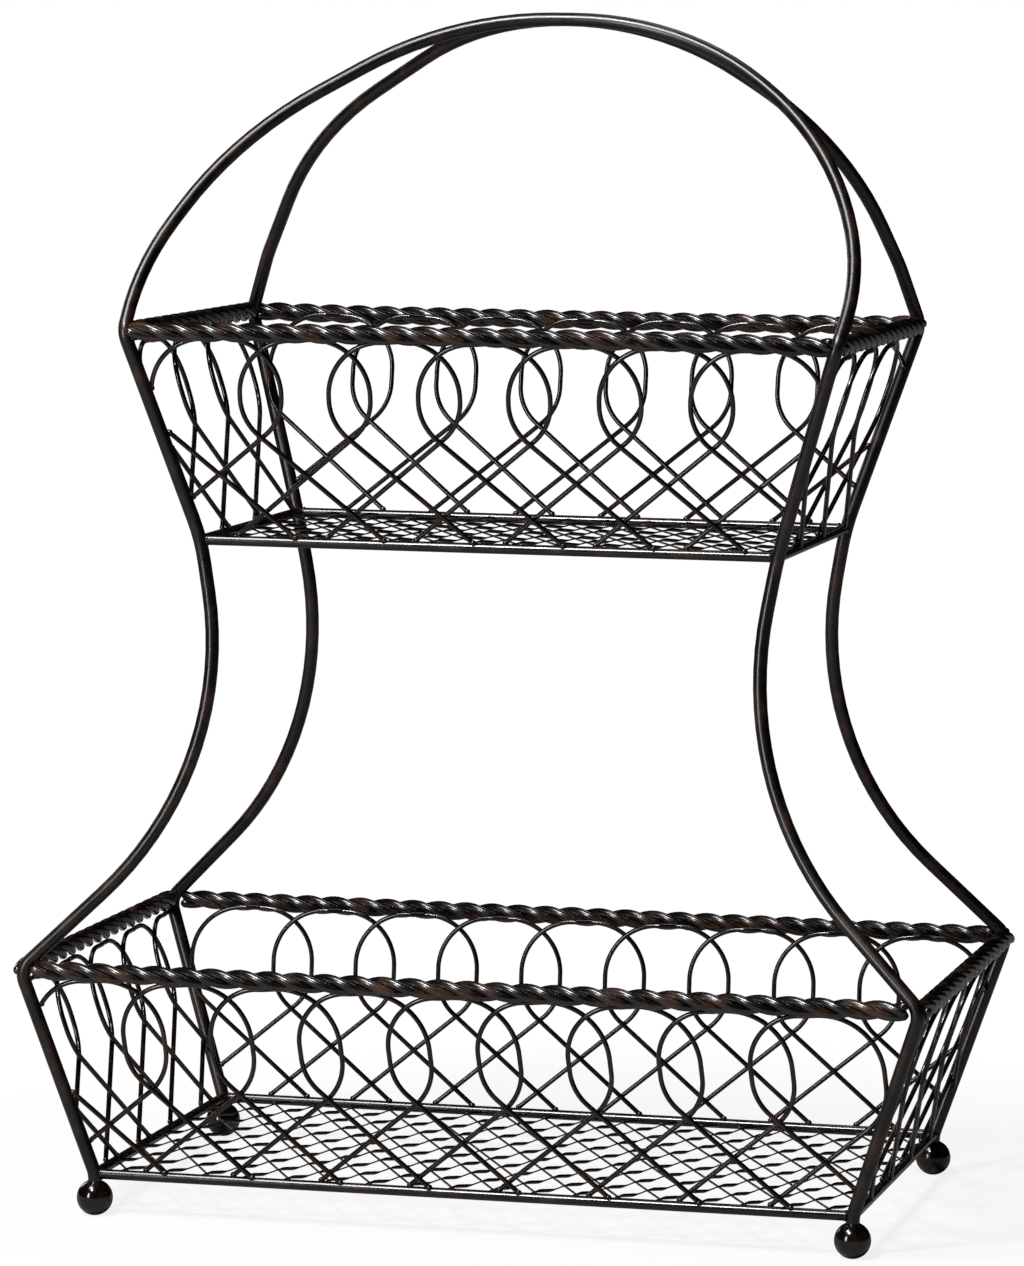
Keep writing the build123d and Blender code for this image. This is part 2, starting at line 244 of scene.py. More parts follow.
# A domed end of a wire: how far along the dome its rows lie, and its height in radii. The ends of
# the twisted strands, which the welds cover, have these shares of the strand's radius instead.
DOME_ROWS = np.array([0.45, 0.8, 0.98])
DOME_HEIGHT = 0.6
STRAND_END_SHARES = np.array([0.35, 0.8, 0.97, 1.0])

# Share of a straight run that the bends at its ends may use up
RUN_SHARE = 0.99

# A weld bead: its rows and columns of points, how far the rows stop from its poles, in radians,
# and its lumps, as a share of its width
BEAD_ROWS = 7
BEAD_SIDES = 10
POLE_MARGIN = 0.12
LUMP_SHARE = 0.12


@dataclass
class Surface:
    """Faces gathered from any number of grids, to be made into one piece.

    Attributes:
        points: Points of each grid.
        corners: Places of the faces' corners among all points.
        totals: Number of corners of each face.
        count: Number of points so far.
    """
    points: list[np.ndarray] = field(default_factory=list)
    corners: list[np.ndarray] = field(default_factory=list)
    totals: list[np.ndarray] = field(default_factory=list)
    count: int = 0

    def add_grid(self, grid: np.ndarray) -> None:
        """Adds a tube-like grid that is closed round its second parameter and capped at its ends.

        Quad (i, j) joins points (i, j), (i, j+1), (i+1, j+1) and (i+1, j), with j taken round.
        The first and last rows are closed by one face each.

        Args:
            grid: Points of shape (rows, columns, 3), the columns anticlockwise about the way
                in which the rows run.
        """
        rows, columns = grid.shape[:2]
        index = self.count + np.arange(rows * columns).reshape(rows, columns)
        right = np.roll(index, -1, axis=1)
        quads = np.stack([index[:-1], right[:-1], right[1:], index[1:]], axis=-1).reshape(-1)
        self.points.append(grid.reshape(-1, 3))
        self.corners += [quads, index[0, ::-1], index[-1]]
        self.totals += [np.full(quads.size // 4, 4), np.full(2, columns)]
        self.count += rows * columns

    def make(self, name: str) -> bpy.types.Object:
        """Makes the gathered faces into one smooth-shaded object at the origin.

        Args:
            name: Name of the piece.

        Returns:
            The new object, linked to the scene.
        """
        points = np.concatenate(self.points).astype(np.float32)
        corners = np.concatenate(self.corners).astype(np.int32)
        totals = np.concatenate(self.totals).astype(np.int32)
        starts = np.concatenate([[0], np.cumsum(totals)[:-1]]).astype(np.int32)
        mesh = bpy.data.meshes.new(name)
        mesh.vertices.add(len(points))
        mesh.vertices.foreach_set("co", points.reshape(-1))
        mesh.loops.add(len(corners))
        mesh.loops.foreach_set("vertex_index", corners)
        mesh.polygons.add(len(totals))
        mesh.polygons.foreach_set("loop_start", starts)
        mesh.polygons.foreach_set("loop_total", totals)
        mesh.polygons.foreach_set("use_smooth", np.ones(len(totals), dtype=bool))
        mesh.update(calc_edges=True)
        mesh.validate()
        made = bpy.data.objects.new(name, mesh)
        bpy.context.scene.collection.objects.link(made)
        return made


def unit(vectors: np.ndarray) -> np.ndarray:
    """Scales each vector of the last axis to length 1."""
    return vectors / np.linalg.norm(vectors, axis=-1, keepdims=True)


def rounded_path(corners: np.ndarray, radii: np.ndarray, step: float) -> np.ndarray:
    """Points along a line of straight runs whose corners are rounded by tangent arcs.

    An arc of radius r in a corner that turns by a starts and ends r tan(a/2) from the corner. At
    the share u of its turn it lies at start + r (sin(ua) t + (1 - cos(ua)) n), with t the way in
    and n the way to the centre. A bend that its runs have no room for is made smaller.

    Args:
        corners: Corner points of shape (n, 3).
        radii: Radius at each of the n - 2 inner corners.
        step: Distance between points, along straight runs and arcs alike.

    Returns:
        Points of shape (m, 3).
    """
    runs = np.diff(corners, axis=0)
    ways = unit(runs)
    turns = np.arccos(np.clip(np.sum(ways[:-1] * ways[1:], axis=1), -1, 1))
    wanted = np.concatenate([[0], radii * np.tan(turns / 2), [0]])
    lengths = np.linalg.norm(runs, axis=1)
    shares = np.minimum(1, RUN_SHARE * lengths / (wanted[:-1] + wanted[1:] + TINY))
    radii = radii * np.minimum(shares[:-1], shares[1:])
    setbacks = np.concatenate([[0], radii * np.tan(turns / 2), [0]])
    pieces = []
    for i, way in enumerate(ways):
        start = corners[i] + way * setbacks[i]
        end = corners[i + 1] - way * setbacks[i + 1]
        count = max(2, int(np.ceil(np.linalg.norm(end - start) / step)))
        pieces.append(start + np.linspace(0, 1, count, endpoint=False)[:, None] * (end - start))
        if i < len(turns):
            count = max(3, int(np.ceil(radii[i] * turns[i] / step)))
            angle = np.linspace(0, 1, count, endpoint=False)[:, None] * turns[i]
            inward = unit(ways[i + 1] - way * np.dot(way, ways[i + 1]))
            pieces.append(end + radii[i] * (np.sin(angle) * way + (1 - np.cos(angle)) * inward))
        else:
            pieces.append(end[None])
    return np.concatenate(pieces)


def rings(path: np.ndarray, normals: np.ndarray, across: np.ndarray, radii: np.ndarray,
          sides: int) -> np.ndarray:
    """Circles round the points of a path.

    Ring i lies in the plane across the path there: p + r (cos(v) n + sin(v) b).

    Args:
        path: Points p of shape (n, 3).
        normals: Unit direction n at each point, across the path.
        across: Unit direction b at each point, across both.
        radii: Radius r at each point.
        sides: Points round each circle.

    Returns:
        A grid of shape (n, sides, 3).
    """
    angle = np.linspace(0, 2 * np.pi, sides, endpoint=False)[None, :, None]
    ring = np.cos(angle) * normals[:, None] + np.sin(angle) * across[:, None]
    return path[:, None] + radii[:, None, None] * ring


def tube(path: np.ndarray, radius: float | np.ndarray, reference: np.ndarray,
         sides: int = 12) -> np.ndarray:
    """A round wire along a path, with domed ends.

    The wire is rings along the path, as in rings(), where n is the reference direction less its
    part along the path, and b is across both. At each end more rings follow a quarter circle,
    r sqrt(1 - u^2) at a distance of 0.6 r u, so that the end is a low dome.

    Args:
        path: Points of shape (n, 3).
        radius: Radius of the wire, or its radius at each point.
        reference: A direction that is nowhere along the path.
        sides: Points round the wire.

    Returns:
        A grid of shape (n + 6, sides, 3).
    """
    tangents = unit(np.gradient(path, axis=0))
    normals = unit(reference - tangents * (tangents @ reference)[:, None])
    across = np.cross(tangents, normals)
    radii = np.broadcast_to(radius, len(path))
    fall = np.sqrt(1 - DOME_ROWS ** 2)
    low = DOME_HEIGHT * radii[0] * DOME_ROWS[::-1, None]
    high = DOME_HEIGHT * radii[-1] * DOME_ROWS[:, None]
    row = np.arange(-len(DOME_ROWS), len(path) + len(DOME_ROWS)).clip(0, len(path) - 1)
    path = np.concatenate([path[0] - low * tangents[0], path, path[-1] + high * tangents[-1]])
    radii = np.concatenate([radii[0] * fall[::-1], radii, radii[-1] * fall])
    return rings(path, normals[row], across[row], radii, sides)


def helix_tube(path: np.ndarray, outward: np.ndarray, radius: float,
               sides: int = 16) -> np.ndarray:
    """A round strand along a helix.

    The strand is rings along the path, as in rings(), with n the direction from the axis of the
    helix, less its part along the path, and b across both. The last rings shrink, so that the end
    is rounded.

    Args:
        path: Points of the helix, of shape (n, 3).
        outward: Offsets of those points from the axis of the helix.
        radius: Radius of the strand.
        sides: Points round the strand.

    Returns:
        A grid of shape (n, sides, 3).
    """
    tangents = unit(np.gradient(path, axis=0))
    normals = unit(outward - tangents * np.sum(tangents * outward, axis=1)[:, None])
    across = np.cross(tangents, normals)
    from_end = np.minimum(np.arange(len(path)), np.arange(len(path))[::-1])
    radii = radius * STRAND_END_SHARES[np.minimum(from_end, len(STRAND_END_SHARES) - 1)]
    return rings(path, normals, across, radii, sides)


def bead(centre: np.ndarray, axis: np.ndarray, radii: tuple[float, float],
         seed: float) -> np.ndarray:
    """A small weld bead: a long round lump with an uneven surface.

    Row u and column v lie at centre + h cos(u) axis + m w sin(u) (cos(v) n + sin(v) b), where the
    width is uneven by m = 1 + 0.12 (sin(3v + s) sin(2u) + sin(2v - s) / 2), so no two are alike.
    The rows stop short of the poles, which are closed by a small face.

    Args:
        centre: Middle of the bead.
        axis: Direction of its length, which isn't upright.
        radii: Half its length and half its width.
        seed: Number s that sets the lumps.

    Returns:
        A grid of shape (7, 10, 3).
    """
    axis = unit(axis)
    normal = unit(UP - axis * np.dot(axis, UP))
    across = np.cross(axis, normal)
    row = np.linspace(np.pi - POLE_MARGIN, POLE_MARGIN, BEAD_ROWS)[:, None]
    column = np.linspace(0, 2 * np.pi, BEAD_SIDES, endpoint=False)[None, :]
    waves = np.sin(3 * column + seed) * np.sin(2 * row) + np.sin(2 * column - seed) / 2
    lump = 1 + LUMP_SHARE * waves
    length = (radii[0] * np.cos(row) * np.ones_like(column))[..., None]
    width = (radii[1] * np.sin(row) * lump)[..., None]
    ring = np.cos(column)[..., None] * normal + np.sin(column)[..., None] * across
    return centre + length * axis + width * ring


def finish_piece(piece: bpy.types.Object, coat: bpy.types.Material, slot: str,
                 *nodes: str) -> None:
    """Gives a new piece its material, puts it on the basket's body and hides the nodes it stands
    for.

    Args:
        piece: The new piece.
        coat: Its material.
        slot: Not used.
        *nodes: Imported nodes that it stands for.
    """
    piece.data.materials.append(coat)
    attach(piece, BODY)
    if nodes:
        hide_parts(*nodes)
    log.info("%s: %d faces", piece.name, len(piece.data.polygons))


def dress_node(name: str, coat: bpy.types.Material) -> None:
    """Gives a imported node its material.

    Args:
        name: Name of the node.
        coat: The material.
    """
    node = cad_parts[name]
    node.data.materials.clear()
    node.data.materials.append(coat)
    log.info("%s: dressed", name)


# Sizes of one tier


@dataclass(frozen=True)
class LoopShape:
    """How the loops of one wall are spaced and bent, in mm.

    Attributes:
        pitch: Distance between neighbouring loops.
        shift: Place of the middle loop, to the right or to the back of the middle.
        arch_drop: How far the arches lie below the middle of the rim.
        depth: Distance from the rim down to the lower bend of a loop.
        shoulder_radius: Radius of the bends at both ends of the arch.
        turn: How much lower the right side of a loop hangs than the left.
        lean: How far the arch sits to the left of the legs.
    """
    pitch: float
    shift: float
    arch_drop: float
    depth: float
    shoulder_radius: float = 22.5
    turn: float = 0.0
    lean: float = 0.0


@dataclass(frozen=True)
class TierSizes:
    """Sizes of one basket, in mm. Its plan is measured to the centres of its corner rods.

    Attributes:
        base_half_length: Half the length at the base rails.
        base_half_depth: Half the depth there.
        base_height: Height of the centres of the base rails.
        rim_half_length: Half the length at the rims.
        rim_half_depth: Half the depth there.
        rim_height: Height of the centres of the rims.
        loops: The loops of each wall.
    """
    base_half_length: float
    base_half_depth: float
    base_height: float
    rim_half_length: float
    rim_half_depth: float
    rim_height: float
    loops: dict[Side, LoopShape]


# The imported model's sizes in mm. LAYER_OFFSET is how far each leg of a wire lies from the middle
# of the two layers that cross, and ARCH_CONTACT is the distance at which an arch touches a rim.
ROD_RADIUS = 3.0
RAIL_RADIUS = 2.25
WIRE_RADIUS = 1.1
LAYER_OFFSET = 1.15
ARCH_CONTACT = 5.596
LOWER_SIDES = LoopShape(pitch=49.0, shift=0.0, arch_drop=ARCH_CONTACT, depth=41.5)
UPPER_SIDES = LoopShape(pitch=52.0, shift=-12.0, arch_drop=ARCH_CONTACT, depth=41.5)
LOWER_SIZES = TierSizes(
    base_half_length=169.7, base_half_depth=99.8, base_height=18.2,
    rim_half_length=200.0, rim_half_depth=113.2, rim_height=109.8,
    loops={
        Side.FRONT: LoopShape(pitch=40.0, shift=-3.6, arch_drop=5.0, depth=45.2,
                              shoulder_radius=25.5, turn=3.0, lean=4.5),
        Side.BACK: LoopShape(pitch=40.0, shift=2.5, arch_drop=2.6, depth=41.5,
                             shoulder_radius=24.5),
        Side.LEFT: LOWER_SIDES, Side.RIGHT: LOWER_SIDES})
UPPER_SIZES = TierSizes(
    base_half_length=128.7, base_half_depth=77.8, base_height=297.9,
    rim_half_length=157.3, rim_half_depth=100.6, rim_height=389.5,
    loops={
        Side.FRONT: LoopShape(pitch=40.0, shift=1.5, arch_drop=3.7, depth=40.0,
                              shoulder_radius=25.0),
        Side.BACK: LoopShape(pitch=40.0, shift=3.5, arch_drop=2.6, depth=43.6,
                             shoulder_radius=24.5),
        Side.LEFT: UPPER_SIDES, Side.RIGHT: UPPER_SIDES})

# How far the long rims of the upper basket bow towards each other, seen from the front, in mm
RIM_BOWS = {(Tier.UPPER, Side.FRONT): 1.0, (Tier.UPPER, Side.BACK): -1.0}

# Room that the mesh floors leave round the ball feet below and the corner rods above, in mm
MESH_CORNER_ROOMS = {Tier.LOWER: 9.7, Tier.UPPER: 4.5}


@dataclass
class Wall:
    """One sloping wall, with the plane in which its wires lie.

    The wires are placed by (s, t, n): along the wall from its middle, up the slope from the middle
    of their arches, and out of the wall, all in mm.

    Attributes:
        tier: The basket.
        side: Which of its walls.
        sizes: Sizes of the basket.
        loops: Shape of the wall's loops.
        rim_half: Half the length of the wall at its rim.
        base_half: Half the length of the wall at its rail.
        rim_middle: Middle of the rim.
        base_middle: Middle of the rail.
        normal: Unit direction out of the wall.
        arch_middle: Middle of the arches of the wires.
        wires_up: Unit direction up the slope of the wires.
        wires_normal: Unit direction out of the plane of the wires.
        wire_slant: Distance from the rail up to the arches.
        rod_base: Place (s, t, n) at which the axis of the right corner rod passes the rail.
        rod_rim: Place at which it passes the rim.
        loop_shift: Place of the middle loop along the wall.
    """
    tier: Tier
    side: Side
    sizes: TierSizes

    def __post_init__(self) -> None:
        """Works out the slopes of the wall and of its wires.

        In front and behind the arches touch the rim from inside, at a distance made up of their
        drop and their inset. On the sides they lie under it.
        """
        s = self.sizes
        along, outward = self.side.along, self.side.outward
        long_wall = self.side in (Side.FRONT, Side.BACK)
        self.loops = s.loops[self.side]
        self.rim_half = s.rim_half_length if long_wall else s.rim_half_depth
        self.base_half = s.base_half_length if long_wall else s.base_half_depth
        rim_reach = s.rim_half_depth if long_wall else s.rim_half_length
        base_reach = s.base_half_depth if long_wall else s.base_half_length
        self.rim_middle = outward * rim_reach + UP * s.rim_height
        self.base_middle = outward * base_reach + UP * s.base_height
        up_slope = unit(self.rim_middle - self.base_middle)
        self.normal = np.cross(along, up_slope)
        drop = self.loops.arch_drop
        inset = np.sqrt(ARCH_CONTACT ** 2 - drop ** 2) + LAYER_OFFSET if long_wall else 0.0
        self.arch_middle = self.rim_middle - drop * up_slope - inset * self.normal
        self.wires_up = unit(self.arch_middle - self.base_middle)
        self.wires_normal = np.cross(along, self.wires_up)
        self.wire_slant = float(np.linalg.norm(self.arch_middle - self.base_middle))
        rim_offset = self.rim_middle - self.arch_middle
        self.rod_base = np.array([self.base_half, -self.wire_slant, 0.0])
        self.rod_rim = np.array([self.rim_half, rim_offset @ self.wires_up,
                                 rim_offset @ self.wires_normal])
        self.loop_shift = self.loops.shift * float(along[0] + along[1])

    @property
    def prefix(self) -> str:
        """Start of the names of the wall's pieces."""
        return f"{self.tier.value}_{self.side.name.lower()}"

    def place(self, places: np.ndarray) -> np.ndarray:
        """Turns places (s, t, n) of shape (n, 3) into points in metres."""
        axes = np.stack([self.side.along, self.wires_up, self.wires_normal])
        return MM * (self.arch_middle + places @ axes)


@dataclass
class WallWires:
    """The looped wires of one wall.

    Each wire comes up a leg, turns up the side of its loop, over the arch at the rim, down the
    other side and out on the other leg. Neighbouring loops overlap in a narrow eye.

    Attributes:
        wall: The wall.
        lens_width: Width of that eye, in mm, as the other sizes are.
        leg_slope: Slope of the legs from the rail, in degrees.
        side_radius: Radius of the bend from a leg to the side of its loop.
        change_half_length: Half the bit of an arch on which the wire changes its layer.
        change_radius: Radius of the bends of that change.
        bite: How deep an end goes into the rod or rail that it is welded to.
        shortest: Length of the shortest bit of wire that is kept.
        path_step: Distance between the points of a wire.
    """
    wall: Wall
    lens_width: float = 18.0
    leg_slope: float = 40.0
    side_radius: float = 22.0
    change_half_length: float = 3.0
    change_radius: float = 6.0
    bite: float = 0.7
    shortest: float = 9.0
    path_step: float = 1.0

    def path(self, centre: float) -> np.ndarray:
        """Centre line of one wire on the wall, as (s, t, n).

        Its corners, from the left leg to the right one, are the foot of the leg on the rail, the
        place where leg and side would meet, the shoulder of the arch and the place where the wire
        changes its layer, and then the same in mirrored order. The left half lies in the outer
        layer and the right half in the inner one, so crossing wires lie on each other.

        Args:
            centre: Place of the loop along the wall.

        Returns:
            Points of shape (m, 3).
        """
        loops = self.wall.loops
        half = (loops.pitch + self.lens_width) / 2
        slant = self.wall.wire_slant
        halves = []
        radii = []
        for side in (-1.0, 1.0):
            drop = loops.depth - loops.arch_drop + side * loops.turn / 2
            reach = half - (slant - drop) / np.tan(np.radians(self.leg_slope))
            layer = -side * LAYER_OFFSET
            halves.append(np.array([[centre + side * reach, -slant, layer],
                                    [centre + side * half, -drop, layer],
                                    [centre - loops.lean + side * half, 0.0, layer],
                                    [centre - loops.lean + side * self.change_half_length, 0.0,
                                     layer]]))
            radii.append([self.side_radius, loops.shoulder_radius + side * loops.turn / 2,
                          self.change_radius])
        corners = np.concatenate([halves[0], halves[1][::-1]])
        return rounded_path(corners, np.array(radii[0] + radii[1][::-1]), self.path_step)

    def room(self, path: np.ndarray) -> np.ndarray:
        """Room between a wire and what it meets, which is the corner rod and the rail.

        The room to a rod or rail is the distance to its axis, less its radius and the reach of
        the wire's cut end towards it, r sqrt(1 - c^2) with c the cosine between the wire and the
        way to the axis. A point beyond the axis of the corner rod has no room. A welded end may
        go in by the bite.

        Args:
            path: Points of one wire as (s, t, n).

        Returns:
            The smallest room at each point if the wire ended there, below zero beyond the rod.
        """
        wall = self.wall
        way = unit(np.gradient(path, axis=0))
        mirror = np.where(path[:, :1] > 0, 1.0, -1.0) * [1, 0, 0] + [0, 1, 1]
        rod_way = unit(wall.rod_rim - wall.rod_base) * mirror
        from_base = path - wall.rod_base * mirror
        to_rod = rod_way * np.sum(from_base * rod_way, axis=1, keepdims=True) - from_base
        to_rail = (wall.rod_base - path) * [0, 1, 1]
        rooms = [mirror[:, 0] * to_rod[:, 0] + self.bite]
        for gap, radius in ((to_rod, ROD_RADIUS), (to_rail, RAIL_RADIUS)):
            length = np.linalg.norm(gap, axis=1)
            cosine = np.sum(way * gap, axis=1) / np.maximum(length, TINY)
            reach = WIRE_RADIUS * np.sqrt(np.clip(1 - cosine ** 2, 0, 1))
            rooms.append(length - radius - reach + self.bite)
        return np.min(rooms, axis=0)

    def kept(self, path: np.ndarray) -> list[np.ndarray]:
        """Cuts a path where it meets a corner rod or the rail.

        Args:
            path: Points of one wire as (s, t, n).

        Returns:
            The stretches that stay, each of them longer than the shortest wire end.
        """
        inside = self.room(path) > 0
        edges = np.flatnonzero(np.diff(np.concatenate([[False], inside, [False]]).astype(int)))
        runs = [path[a:b] for a, b in zip(edges[::2], edges[1::2])]
        lengths = [np.linalg.norm(np.diff(run, axis=0), axis=1).sum() for run in runs]
        return [run for run, length in zip(runs, lengths) if length > self.shortest]

    def centres(self) -> np.ndarray:
        """Finds the loops whose arch lies between the corner rods.

        Returns:
            Their places along the wall.
        """
        wall = self.wall
        count = int(wall.rim_half / wall.loops.pitch) + 1
        places = np.arange(-count, count + 1) * wall.loops.pitch + wall.loop_shift
        return places[np.abs(places - wall.loops.lean) < wall.rim_half - self.lens_width / 2]

    def build(self) -> tuple[bpy.types.Object, list[np.ndarray]]:
        """Makes the wires of the wall.

        Returns:
            The piece, and the ends of its wires as points in metres.
        """
        surface = Surface()
        ends = []
        for centre in self.centres():
            for run in self.kept(self.path(float(centre))):
                points = self.wall.place(run)
                surface.add_grid(tube(points, WIRE_RADIUS * MM, self.wall.wires_normal))
                ends += [points[0], points[-1]]
        return surface.make(f"{self.wall.prefix}_loops"), ends


@dataclass
class TwistedRim:
    """A rim of three thick wires twisted together, right-handed.

    Attributes:
        wall: The wall that it closes.
        bow: How much higher its middle lies than its ends, in mm, as the other sizes are.
        strands: Number of wires.
        strand_radius: Radius of each.
        strand_offset: Distance of each from the axis of the rim.
        lay: Way along the rim in which a strand goes round once.
        end_tilt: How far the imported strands' slanting ends reach past the start of the twist.
        weld_reach: How far the strands go on into the welds.
        path_step: Distance between the points of a strand.
    """
    wall: Wall
    bow: float = 0.0
    strands: int = 3
    strand_radius: float = 2.045
    strand_offset: float = 2.346
    lay: float = 38.4
    end_tilt: float = 0.73
    weld_reach: float = 3.0
    path_step: float = 0.8

    @property
    def node(self) -> str:
        """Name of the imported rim."""
        return f"{self.wall.prefix}_rim"

    def span(self) -> tuple[float, float]:
        """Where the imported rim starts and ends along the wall.

        Returns:
            The two places, in metres from the middle of the wall.
        """
        low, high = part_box(self.node)
        axis = int(np.argmax(np.abs(self.wall.side.along)))
        way = self.wall.side.along[axis]
        first, last = sorted([low[axis] * way, high[axis] * way])
        return float(first), float(last)

    def build(self) -> bpy.types.Object:
        """Makes the strands.

        The centre line of a strand is a helix: along the wall at x, and round it at the angle
        2 pi (x / lay + i / 3) for strand i, at the strand's offset. At the share u of the way
        from the middle to an end it is bowed up by b (1 - u^4).

        Returns:
            The piece.
        """
        first, last = self.span()
        reach = self.weld_reach * MM
        rows = int((last - first) / (self.path_step * MM))
        run = np.linspace(first - reach, last + reach, rows)
        turn = 2 * np.pi * (run - first - self.end_tilt * MM) / (self.lay * MM)
        along, normal = self.wall.side.along, self.wall.normal
        across = np.cross(along, normal)
        share = 2 * (run - run[0]) / (run[-1] - run[0]) - 1
        rise = self.bow * MM * (1 - share ** 4)
        axis = MM * self.wall.rim_middle + run[:, None] * along + rise[:, None] * UP
        surface = Surface()
        for strand in range(self.strands):
            angle = (turn + 2 * np.pi * strand / self.strands)[:, None]
            offset = self.strand_offset * MM * (np.cos(angle) * normal + np.sin(angle) * across)
            surface.add_grid(helix_tube(axis + offset, offset, self.strand_radius * MM))
        return surface.make(f"{self.wall.prefix}_rope")


@dataclass
class CrimpedFloor:
    """A mesh floor of two families of fine wire between the base rails.

    The lower family is straight and thin. The upper one lies on it and is crimped and pressed
    flat in turn, so that from a low view it shows as a row of short dashes.

    Attributes:
        tier: The basket.
        sizes: Its sizes.
        thin_radius: Radius of the straight wires, in mm, as the other sizes are.
        waist_radius: Radius of a crimped wire between two dashes.
        dash_radius: Its radius at a dash.
        dash_slope: How quickly it swells from waist to dash, 0.5 being a plain wave.
        layer_half: Height of the upper wires, and depth of the lower, from the middle.
        pitch: Distance between neighbouring wires along the basket.
        angle: Angle of the wires from the length of the basket, in degrees.
        crimp_depth: How far a crimp dips.
        bite: How deep an end goes into the rail.
        shortest: Length of the shortest wire that is kept.
        path_step: Distance between the points of a wire.
        sides: Points round a wire.
    """
    tier: Tier
    sizes: TierSizes
    thin_radius: float = 0.5
    waist_radius: float = 0.36
    dash_radius: float = 0.8
    dash_slope: float = 0.9
    layer_half: float = 0.65
    pitch: float = 18.6
    angle: float = 62.0
    crimp_depth: float = 0.8
    bite: float = 0.4
    shortest: float = 9.0
    path_step: float = 0.9
    sides: int = 8

    def outline_span(self, start: np.ndarray, way: np.ndarray) -> tuple[float, float]:
        """Where a line in plan enters and leaves the floor with its cut corners.

        Args:
            start: A point of the line, in mm.
            way: Unit direction of the line.

        Returns:
            The two distances from the start.
        """
        sizes = self.sizes
        length = sizes.base_half_length - RAIL_RADIUS + self.bite
        depth = sizes.base_half_depth - RAIL_RADIUS + self.bite
        corner = (sizes.base_half_length + sizes.base_half_depth) / np.sqrt(2)
        corner -= MESH_CORNER_ROOMS[self.tier]
        diagonal = np.sqrt(0.5)
        normals = np.array([[1, 0], [-1, 0], [0, 1], [0, -1], [diagonal, diagonal],
                            [diagonal, -diagonal], [-diagonal, diagonal], [-diagonal, -diagonal]])
        limits = np.array([length] * 2 + [depth] * 2 + [corner] * 4)
        speed = normals @ way
        distances = (limits - normals @ start) / speed
        return float(distances[speed < 0].max()), float(distances[speed > 0].min())

    def build(self) -> bpy.types.Object:
        """Makes the floor.

        A crimped wire at a distance x along itself lies lower by d (1 - cos(2 pi x / c)) / 2,
        where d is the depth of the crimp and c the way between two crossings. Its radius goes
        from the waist to the dash with 0.5 + 0.9 sin(2 pi x / c), held between 0 and 1.

        Returns:
            The piece.
        """
        surface = Surface()
        slope = np.radians(self.angle)
        crossing = self.pitch / 2 / np.cos(slope)
        count = int((self.sizes.base_half_length + self.sizes.base_half_depth) / self.pitch)
        for crimped, lean in ((True, 1.0), (False, -1.0)):
            way = np.array([np.cos(slope) * lean, np.sin(slope)])
            for i in range(-count, count + 1):
                start = np.array([i * self.pitch, 0.0])
                first, last = self.outline_span(start, way)
                if last - first < self.shortest:
                    continue
                run = np.linspace(first, last, int((last - first) / self.path_step))
                height = np.full_like(run, self.sizes.base_height)
                radius = np.full_like(run, self.thin_radius)
                if crimped:
                    phase = 2 * np.pi * run / crossing
                    height += self.layer_half - self.crimp_depth * (1 - np.cos(phase)) / 2
                    swell = np.clip(0.5 + self.dash_slope * np.sin(phase), 0, 1)
                    radius = self.waist_radius + (self.dash_radius - self.waist_radius) * swell
                else:
                    height -= self.layer_half
                points = np.stack([start[0] + run * way[0], run * way[1], height], axis=1)
                surface.add_grid(tube(points * MM, radius * MM, UP, self.sides))
        return surface.make(f"{self.tier.value}_crimped_floor")


@dataclass
class Welds:
    """The weld beads of one tier, coated over with the rest.

    The size of a bead is half its length, along the wall, and half its width, in mm.

    Attributes:
        tier: The basket.
        wire_bead: Size of the bead at the end of a wire.
        rim_bead: Size of the bead between a rim and a corner rod.
        rail_bead: Size of the bead between a rail and a corner rod.
        seed_step: How quickly the lumps change from place to place.
        surface: The beads so far.
    """
    tier: Tier
    wire_bead: tuple[float, float] = (1.5, 1.3)
    rim_bead: tuple[float, float] = (1.8, 2.4)
    rail_bead: tuple[float, float] = (1.2, 2.6)
    seed_step: float = 997.0
    surface: Surface = field(default_factory=Surface)

    def add(self, centre: np.ndarray, wall: Wall, size: tuple[float, float]) -> None:
        """Adds a bead. Its lumps are set by its place.

        Args:
            centre: Middle of the bead in metres.
            wall: The wall that it lies along.
            size: Its size.
        """
        radii = (size[0] * MM, size[1] * MM)
        seed = float(np.sum(centre) * self.seed_step)
        self.surface.add_grid(bead(centre, wall.side.along, radii, seed))

    def add_wall(self, wall: Wall, ends: list[np.ndarray], span: tuple[float, float]) -> None:
        """Puts beads on the wires' ends, and where the rim and rail meet the corner rods.

        Args:
            wall: The wall.
            ends: Ends of its wires, in metres.
            span: Where its rim starts and ends along it, in metres.
        """
        for end in ends:
            self.add(end, wall, self.wire_bead)
        for end in span:
            self.add(MM * wall.rim_middle + end * wall.side.along, wall, self.rim_bead)
        for end in (-1.0, 1.0):
            reach = end * (wall.base_half - ROD_RADIUS) * wall.side.along
            self.add(MM * (wall.base_middle + reach), wall, self.rail_bead)

    def build(self) -> bpy.types.Object:
        """Makes the beads one piece."""
        return self.surface.make(f"{self.tier.value}_welds")


